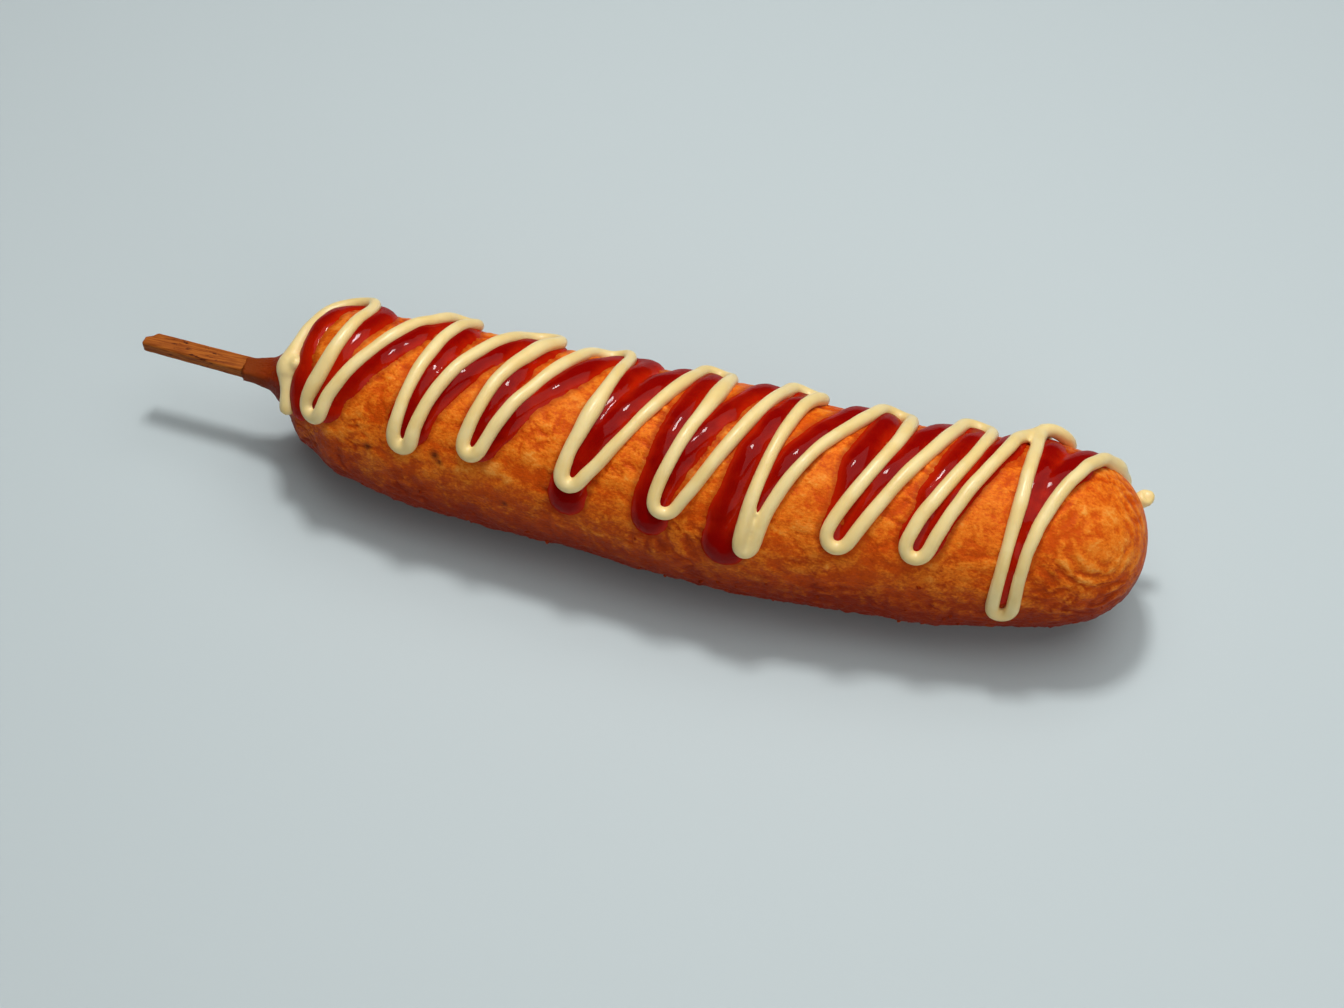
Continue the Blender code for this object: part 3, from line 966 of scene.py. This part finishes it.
# %% [markdown]
# ## Ketchup
#
# Ketchup is wet, red and slightly see-through. It slumps, so its bead is wide
# and low, and it ran into drops below three of its turns. It is a brighter red
# where it thins out at its edges, and a dark one where it stands thick. A true
# glassy liquid would be slow to render, so the finish turns its depth over the
# batter, kept as an attribute, into colour, with a sharp coat for the wet
# highlights.

# %% Ketchup
KETCHUP_THICK = (0.24, 0.001, 0.0002, 1.0)
KETCHUP_THIN = (0.46, 0.012, 0.0005, 1.0)
THIN_DEPTH = 0.1 * MM
THICK_DEPTH = 1.3 * MM
KETCHUP_WIDTH = 8.6 * MM
KETCHUP_LIFT = -3.05 * MM
KETCHUP_SWELLS = (
    (79.2, 70, 0.10, 4.0), (95.3, 70, 0.08, 4.0), (112.8, 76, 0.10, 5.0), (165.0, -20, 0.08, 9.0),
    (10.5, 84, -0.10, 12.0), (11.2, 20, -0.12, 14.0), (172.2, 60, -0.17, 18.0),
    (136.0, 48, -0.08, 10.0), (152.8, 48, -0.08, 10.0),
)
KETCHUP_DROPS = ((77.4, 69), (95.4, 67), (112.4, 73))
DROP_STEPS = (-5.0, -2.0, 1.0, 4.0)
DROP_GIRTH = 1.07
KETCHUP_VOXEL = 0.53 * MM
PULP_SIZE = 2.6 * MM
PULP_DEPTH = 0.3 * MM


def make_ketchup_finish():
    material, shader, where = new_finish("ketchup")
    depth = ramp(attribute(shader, "depth"), THIN_DEPTH, THICK_DEPTH)
    fill_inputs(shader, {
        "Base Color": mix_colour(depth, KETCHUP_THIN, KETCHUP_THICK),
        "Normal": bumped(noise(where, PULP_SIZE, 2.0, 0.5), PULP_DEPTH, 0.5),
        "Roughness": 0.3,
        "Specular IOR Level": 0.0,
        "Coat Weight": 0.28,
        "Coat IOR": 1.4,
        "Coat Roughness": 0.04,
        "Subsurface Weight": 0.25,
        "Subsurface Radius": (1.0, 0.06, 0.03),
        "Subsurface Scale": 0.0015,
    })
    return material


def drop_route(along, degrees):
    """A short fat dab, drawn as a route of a few points down the side."""
    places = [unrolled(along, degrees + extra) for extra in DROP_STEPS]
    return [((place.x, place.y, 0.0), DROP_GIRTH) for place in places]


ketchup_finish = make_ketchup_finish()
ketchup_curve = curve_object(
    "ketchup_route",
    [swollen(ketchup_route, KETCHUP_SWELLS)] + [drop_route(*drop) for drop in KETCHUP_DROPS],
)
ketchup = grow("ketchup_drizzle", ketchup_curve, lay_bead, {
    "Width": KETCHUP_WIDTH, "Lift": KETCHUP_LIFT, "Unevenness": 0.2, "Patch": 9.0 * MM, "Seed": 4.0,
    "Skin": bare_skin, "Over": bare_skin, "Finish": ketchup_finish,
})
merged(ketchup, KETCHUP_VOXEL, 5)
set_finish(ketchup, ketchup_finish)

# %% [markdown]
# ## Mayonnaise
#
# Mayonnaise holds its shape, so its bead stands round and even, a little wider
# where the bottle turned and paused. Its first squeeze left a blob at the stick
# end and a drip below it. It is opaque but light travels a little way into it,
# which keeps its shaded side warm and soft. It is laid after the ketchup and
# rides over it.

# %% Mayonnaise
MAYO_COLOUR = (0.90, 0.71, 0.33, 1.0)
MAYO_SHADE = (0.86, 0.64, 0.26, 1.0)
MAYO_WIDTH = 3.05 * MM
MAYO_LIFT = 0.5 * MM
MAYO_SWELLS = (
    (8.6, 25, 1.15, 7.0), (9.0, 76, 0.30, 6.0), (189.5, -43, 0.22, 3.0),
    (196.0, -76, 0.35, 4.0), (78.6, 16, 0.30, 5.0), (75.8, 52, 0.18, 3.0), (104.0, -17, 0.30, 6.0),
    (147.0, -20, 0.15, 6.0), (62.0, -20, 0.18, 6.0), (91.0, 20, -0.12, 6.0), (128.0, 10, -0.10, 7.0),
    (171.0, 55, -0.1, 9.0), (17.0, 60, 0.12, 4.0), (39.0, 60, 0.12, 4.0),
    (55.0, 57, 0.10, 4.0), (118.3, 70, 0.04, 4.0), (122.0, -48, 0.12, 5.0), (192.0, -50, 0.15, 4.0),
)
MAYO_BLOB = ((5.0, 36), (6.6, 27), (8.8, 20), (11.0, 26))
MAYO_BLOB_GIRTH = 1.2
MAYO_BLOB_SINK = -0.3 * MM
MAYO_VOXEL = 0.42 * MM
MAYO_TONE_SIZE = 6.0 * MM
MAYO_RIPPLE_SIZE = 1.6 * MM
MAYO_RIPPLE_DEPTH = 0.1 * MM
MAYO_LIFTS = ((196.0, -74, 3.0, 3.1), (13.5, -58, 0.6, 6.0), (176.0, -50, 1.8, 5.5))


def make_mayo_finish():
    material, shader, where = new_finish("mayonnaise")
    tone = ramp(noise(where, MAYO_TONE_SIZE, 2.0), 0.35, 0.65)
    ripples = noise(where, MAYO_RIPPLE_SIZE, 2.0)
    fill_inputs(shader, {
        "Base Color": mix_colour(tone, MAYO_SHADE, MAYO_COLOUR),
        "Normal": bumped(ripples, MAYO_RIPPLE_DEPTH, 0.5),
        "Roughness": 0.34,
        "Specular IOR Level": 0.35,
        "Coat Weight": 0.12,
        "Coat Roughness": 0.2,
        "Subsurface Weight": 0.15,
        "Subsurface Radius": (1.0, 0.7, 0.3),
        "Subsurface Scale": 0.001,
    })
    return material


mayo_finish = make_mayo_finish()
mayo_blob = [((*unrolled(*point), MAYO_BLOB_SINK), MAYO_BLOB_GIRTH) for point in MAYO_BLOB]
mayo_bead = swollen(mayo_route, MAYO_SWELLS, MAYO_LIFTS)
mayo_curve = curve_object("mayo_route", [mayo_bead, mayo_blob])
mayo = grow("mayo_drizzle", mayo_curve, lay_bead, {
    "Width": MAYO_WIDTH, "Lift": MAYO_LIFT, "Unevenness": 0.12, "Patch": 12.0 * MM, "Seed": 7.0,
    "Skin": bare_skin, "Over": ketchup, "Finish": mayo_finish,
})
merged(mayo, MAYO_VOXEL, 5)
set_finish(mayo, mayo_finish)

# %% [markdown]
# ## Ketchup soaks in, and shows its depth
#
# Two attributes link the pieces. The skin learns how near the ketchup is, so
# the batter beside it turns red, and the ketchup learns how high it stands over
# the batter. A small tree measures the distance to another piece and stores it.
# The scorch marks of the batter are stored in the same way, from a few places.


# %% Distance attributes
def nearness_tree():
    tree, given, end = new_shape_tree(
        "measure_nearness", {"From": 0.0, "To": 1.0},
        (("Other", "NodeSocketObject"), ("Title", "NodeSocketString"), ("Finish", "NodeSocketMaterial")),
    )
    other = object_geometry(given["Other"])
    gap = add_node(tree, "GeometryNodeProximity", {0: other}, target_element="FACES").outputs["Distance"]
    inputs = {0: gap, 1: given["From"], 2: given["To"], 3: 1.0, 4: 0.0}
    share = result_of("ShaderNodeMapRange", inputs)
    marked = stored(given["Geometry"], given["Title"], share)
    close_shape_tree(tree, marked, given["Finish"], end)
    return tree


def store_scorch(piece):
    marks = [(skin_point(along * MM, degrees), size * MM) for along, degrees, size in SCORCH_MARKS]
    values = []
    for vertex in piece.data.vertices:
        value = 0.0
        for centre, size in marks:
            value = max(value, math.exp(-((vertex.co - centre).length / size) ** 2))
        values.append(value)
    piece.data.attributes.new("scorch", "FLOAT", "POINT").data.foreach_set("value", values)


measure = nearness_tree()
skin = grow("crust_skin", bare_skin, measure, {
    "From": 0.0, "To": 1.4 * MM, "Other": ketchup, "Title": "soak", "Finish": batter_finish,
})
store_scorch(skin)
set_finish(skin, batter_finish)
ketchup = grow("ketchup_drizzle", ketchup, measure, {
    "From": 1.0, "To": 0.0, "Other": skin, "Title": "depth", "Finish": ketchup_finish,
})
set_finish(ketchup, ketchup_finish)

# %% [markdown]
# ## The stick
#
# The stick is a flat strip of bamboo, browned by the frying oil. Long fibres
# run down it, its edges are worn, one corner of its end is knocked off and it
# has darker scorched streaks near the middle of the part that shows. It starts
# as a finely divided block in a Geometry Nodes tree, which tapers it, rounds
# its edges and raises the fibres.

# %% Bamboo stick
STICK_OUT = 31.8 * MM
STICK_IN = 12.0 * MM
STICK_WIDTH = 5.1 * MM
STICK_THICKNESS = 3.3 * MM
STICK_END_TAPER = 0.85
STICK_TURN = math.radians(4.7)
CHIP_PLACE = (2.2 * MM, 1.2 * MM)
CHIP_PUSH = (0.9 * MM, -0.7 * MM, -0.5 * MM)
SCORCHED_AT = 19.0 * MM
FIBRE_STRETCH = (0.07, 1.0, 1.0)
FIBRE_SIZE = 0.45 * MM
FIBRE_DEPTH = 0.12 * MM
BAND_SIZE = 1.6 * MM
FLECK_STRETCH = (0.35, 1.0, 1.0)
FLECK_SIZE = 0.9 * MM
RIDGE_STRETCH = 0.06
RIDGE_SIZE = 0.9 * MM
WEAR_SIZE = 3.0 * MM
WEAR_DEPTH = 0.2 * MM
EDGE_INSET = 0.08 * MM
BAMBOO_LIGHT = (0.44, 0.122, 0.016, 1.0)
BAMBOO_DARK = (0.25, 0.054, 0.007, 1.0)
BAMBOO_SCORCH = (0.075, 0.014, 0.005, 1.0)


def make_bamboo_finish():
    material, shader, where = new_finish("bamboo")
    stretch = result_of("ShaderNodeMapping", {"Vector": where, "Scale": FIBRE_STRETCH})
    fibres = noise(stretch, FIBRE_SIZE, 3.0, 0.6)
    bands = noise(stretch, BAND_SIZE, 2.0, 0.5)
    colour = mix_colour(ramp(fibres, 0.35, 0.65), BAMBOO_DARK, BAMBOO_LIGHT)
    colour = mix_colour(ramp(bands, 0.5, 0.75, 0.0, 0.5), colour, BAMBOO_DARK)
    streak = result_of("ShaderNodeMapping", {"Vector": where, "Scale": FLECK_STRETCH})
    flecks = ramp(noise(streak, FLECK_SIZE, 3.0, 0.6), 0.56, 0.66)
    scorch = times(flecks, attribute(shader, "scorch"))
    colour = mix_colour(scorch, colour, BAMBOO_SCORCH)
    fill_inputs(shader, {
        "Base Color": mix_colour(attribute(shader, "corner"), colour, BAMBOO_SCORCH),
        "Normal": bumped(fibres, FIBRE_DEPTH, 0.8),
        "Roughness": 0.55,
        "Specular IOR Level": 0.1,
    })
    return material


def stick_tree():
    tree, given, end = new_shape_tree(
        "split_stick",
        {"Outer End": STICK_OUT, "Inner End": STICK_IN, "Width": STICK_WIDTH, "Thickness": STICK_THICKNESS,
         "Taper": STICK_END_TAPER, "Fibre Height": 0.16 * MM, "Roundness": 0.75 * MM},
        (("Finish", "NodeSocketMaterial"),),
    )
    inputs = {"Size": (1.0, 1.0, 1.0), "Vertices X": 110, "Vertices Y": 22, "Vertices Z": 15}
    block = add_node(tree, "GeometryNodeMeshCube", inputs).outputs["Mesh"]
    unit = split_xyz(here(tree))
    share = plus(unit["X"], 0.5)
    length = plus(given["Outer End"], given["Inner End"])
    along = minus(times(share, length), given["Outer End"])
    narrow = times_plus(share, minus(1.0, given["Taper"]), given["Taper"])
    across = times(times(unit["Y"], given["Width"]), narrow)
    up = times(unit["Z"], given["Thickness"])
    # Rounded edges: the part of the section beyond an inner box is drawn in to a circle
    half_width = times(times(given["Width"], 0.5), narrow)
    inner_y = minus(half_width, given["Roundness"])
    inner_z = minus(times(given["Thickness"], 0.5), given["Roundness"])
    inner_x = minus(given["Outer End"], times(given["Roundness"], 0.6))
    box_x = calc("MAXIMUM", along, times(inner_x, -1.0))
    box_y, box_z = [
        calc("MINIMUM", calc("MAXIMUM", value, times(inner, -1.0)), inner)
        for value, inner in ((across, inner_y), (up, inner_z))
    ]
    box = join_xyz(box_x, box_y, box_z)
    whole = join_xyz(along, across, up)
    beyond = vector_calc("SUBTRACT", whole, box)
    reach = vector_calc("LENGTH", beyond)
    outward = vector_calc("NORMALIZE", beyond)
    grain = join_xyz(times(along, RIDGE_STRETCH), across, up)
    fibres = uneven(grain, RIDGE_SIZE, 3.0, 0.6)
    wear = uneven(whole, WEAR_SIZE, 2.0)
    rise = times_plus(fibres, given["Fibre Height"], times(wear, WEAR_DEPTH))
    rim = calc("MINIMUM", reach, given["Roundness"])
    rim = plus(rim, minus(rise, EDGE_INSET))
    shaped = moved_along(box, outward, rim)
    # One corner of the outer end is knocked off
    chip = join_xyz(times(given["Outer End"], -1.0), *CHIP_PLACE)
    chip_gap = vector_calc("DISTANCE", shaped, chip)
    chipped = ramp(chip_gap, 0.4 * MM, 2.6 * MM, 1.0, 0.0)
    shaped = moved_along(shaped, CHIP_PUSH, chipped)
    corner = ramp(chip_gap, 0.9 * MM, 1.7 * MM, 0.9, 0.0)
    middle = calc("ABSOLUTE", plus(along, SCORCHED_AT))
    scorch = ramp(middle, 4.0 * MM, 10.0 * MM, 1.0, 0.12)
    marked = block
    for name, value in (("corner", corner), ("scorch", scorch)):
        marked = stored(marked, name, value)
    laid = result_of("GeometryNodeTransform", {
        "Geometry": reshaped(marked, shaped),
        "Translation": axis_point(0.0), "Rotation": (0.0, 0.0, -STICK_TURN),
    })
    close_shape_tree(tree, laid, given["Finish"], end)
    return tree


bamboo_finish = make_bamboo_finish()
stick_seed = in_scene("stick_seed", bpy.data.meshes.new("stick_seed"))
stick = grow("bamboo_stick", stick_seed, stick_tree(), {"Finish": bamboo_finish})
set_finish(stick, bamboo_finish)

# %% [markdown]
# ## Crumbs of batter
#
# Drips and beads of batter fry hard along the lower side and stand out of the
# outline there. They repeat by the hundred, so Geometry Nodes scatter them: a
# fixed seed picks the places, more of them towards the underside, and each gets
# its own size and turn. Their few faces are enough at half a millimetre.

# %% Batter crumbs
CRUMB_SEED = 5
CRUMB_BROWN_AND_SHADE = 0.7
CRUMB_FORM = (1.0, 0.8, 0.55)
CRUMB_TURNS = (6.28, 6.28, 6.28)
CLUMP_SIZE = 9.0 * MM
LUMP_SIZE = 0.8 * MM
LUMP_HEIGHT = 0.5 * MM


def crumb_tree():
    tree, given, end = new_shape_tree(
        "scatter_crumbs",
        {"Density": 60000.0, "Smallest": 0.3 * MM, "Largest": 0.85 * MM, "Sunk": 0.2 * MM},
        (("Finish", "NodeSocketMaterial"),),
    )
    normal = add_node(tree, "GeometryNodeInputNormal").outputs[0]
    place = here(tree)
    spot = split_xyz(place)
    low_side = ramp(times(split_xyz(normal)["Z"], -1.0), -0.35, 0.55)
    clumps = ramp(noise(place, CLUMP_SIZE, 2.0), 0.42, 0.62)
    past_collar = ramp(spot["X"], 8.0 * MM - BELLY, 20.0 * MM - BELLY)
    high = ramp(spot["Z"], 1.5 * MM, 4.0 * MM)
    # None near the tip or the widest line, where they would stand out of the model's box
    tip = BODY_LENGTH - BELLY
    before_tip = ramp(spot["X"], tip - 3.0 * MM, tip - 1.2 * MM, 1.0, 0.0)
    beside = calc("ABSOLUTE", spot["Y"])
    inside = ramp(beside, 22.6 * MM, 23.1 * MM, 1.0, 0.0)
    density = times(times(low_side, clumps), given["Density"])
    for share in (past_collar, high, before_tip, inside):
        density = times(density, share)
    inputs = {"Mesh": given["Geometry"], "Density": density, "Seed": CRUMB_SEED}
    scatter = add_node(tree, "GeometryNodeDistributePointsOnFaces", inputs, distribute_method="RANDOM")
    inputs = {"Radius": 1.0, "Subdivisions": 2}
    crumb = add_node(tree, "GeometryNodeMeshIcoSphere", inputs).outputs["Mesh"]
    inputs = {2: given["Smallest"], 3: given["Largest"], "Seed": CRUMB_SEED + 1}
    size = add_node(tree, "FunctionNodeRandomValue", inputs, data_type="FLOAT").outputs[1]
    inputs = {1: CRUMB_TURNS, "Seed": CRUMB_SEED + 2}
    turned = add_node(tree, "FunctionNodeRandomValue", inputs, data_type="FLOAT_VECTOR").outputs[0]
    flat = vector_calc("MULTIPLY", join_xyz(size, size, size), CRUMB_FORM)
    sunk = times(given["Sunk"], -1.0)
    inputs = {
        "Geometry": scatter.outputs["Points"],
        "Offset": vector_calc("SCALE", scatter.outputs["Normal"], scale=sunk),
    }
    points = result_of("GeometryNodeSetPosition", inputs)
    inputs = {"Points": points, "Instance": crumb, "Scale": flat, "Rotation": turned}
    placed = result_of("GeometryNodeInstanceOnPoints", inputs)
    real = result_of("GeometryNodeRealizeInstances", {0: placed})
    lumps = times(uneven(place, LUMP_SIZE, 2.0), LUMP_HEIGHT)
    lumpy = reshaped(real, moved_along(place, normal, lumps))
    # Crumbs sit on the underside and take its dark red, which is partly painted shade
    marked = stored(lumpy, "brown", CRUMB_BROWN_AND_SHADE)
    close_shape_tree(tree, marked, given["Finish"], end)
    return tree


crumb_source = in_scene("crumb_source", skin.data.copy())
crumbs = grow("batter_crumbs", crumb_source, crumb_tree(), {"Finish": batter_finish})
set_finish(crumbs, batter_finish)

# %% [markdown]
# ## Link the pieces to the body
#
# Every piece now rides on the model's one body, and the solid that it stands
# for is hidden. The solids stay underneath for weight and collision.

# %% Link the pieces to the frame
for piece, slot, node in (
    (skin, "fried_batter", "batter_crust"),
    (crumbs, "fried_batter", "batter_crust"),
    (ketchup, "ketchup", "batter_crust"),
    (mayo, "mayonnaise", "batter_crust"),
    (stick, "bamboo", "stick"),
):
    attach(piece, "root")
    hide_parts(node)
    places = [[vertex.co[axis] / MM for vertex in piece.data.vertices] for axis in range(3)]
    spans = ["%.1f to %.1f" % (min(values), max(values)) for values in places]
    triangles = triangle_count(piece.data)
    print(piece.name, triangles, "triangles, x %s, y %s, z %s mm" % tuple(spans))
